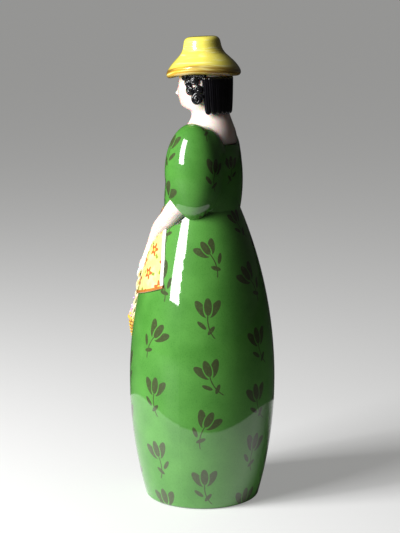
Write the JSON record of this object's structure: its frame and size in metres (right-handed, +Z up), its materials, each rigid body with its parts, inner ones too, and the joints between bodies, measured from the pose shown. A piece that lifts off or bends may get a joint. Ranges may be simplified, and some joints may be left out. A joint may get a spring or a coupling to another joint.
{
  "type": "figural decanter",
  "caption": "Hollow glazed ceramic bottle shaped as a lady in a long dress with a flower basket; her hat with its cork sleeve lifts out of the crown as the stopper.",
  "frame": {"origin": "centre of the foot ring, on the plane it stands on", "axes": "+Z up through the mouth, the lady faces -Y and her left hand is at +X"},
  "size_m": [0.0856, 0.0884, 0.2716],
  "materials": {
    "green_glaze": "gloss",
    "skin_glaze": "gloss",
    "black_glaze": "gloss",
    "apron_glaze": "gloss",
    "basket_glaze": "gloss",
    "cream_glaze": "gloss",
    "flower_glaze": "gloss",
    "yellow_glaze": "gloss",
    "cork": "matt"
  },
  "bodies": {
    "vessel": {"skirt": "green_glaze", "bodice": "green_glaze", "shoulders": "skin_glaze", "head": "skin_glaze", "hair": "black_glaze", "left_curls": "black_glaze", "right_curls": "black_glaze", "left_sleeve": "green_glaze", "right_sleeve": "green_glaze", "left_arm": "skin_glaze", "right_arm": "skin_glaze", "apron": "apron_glaze", "basket": "basket_glaze", "basket_handle": "cream_glaze", "basket_flowers": "flower_glaze"},
    "stopper": {"hat": "yellow_glaze", "cork": "cork"}
  },
  "joints": [
    {"name": "stopper_lift", "type": "slide", "parent": "vessel", "child": "stopper", "axis": [0, 0, 1], "range_m": [0, 0.06]}
  ]
}
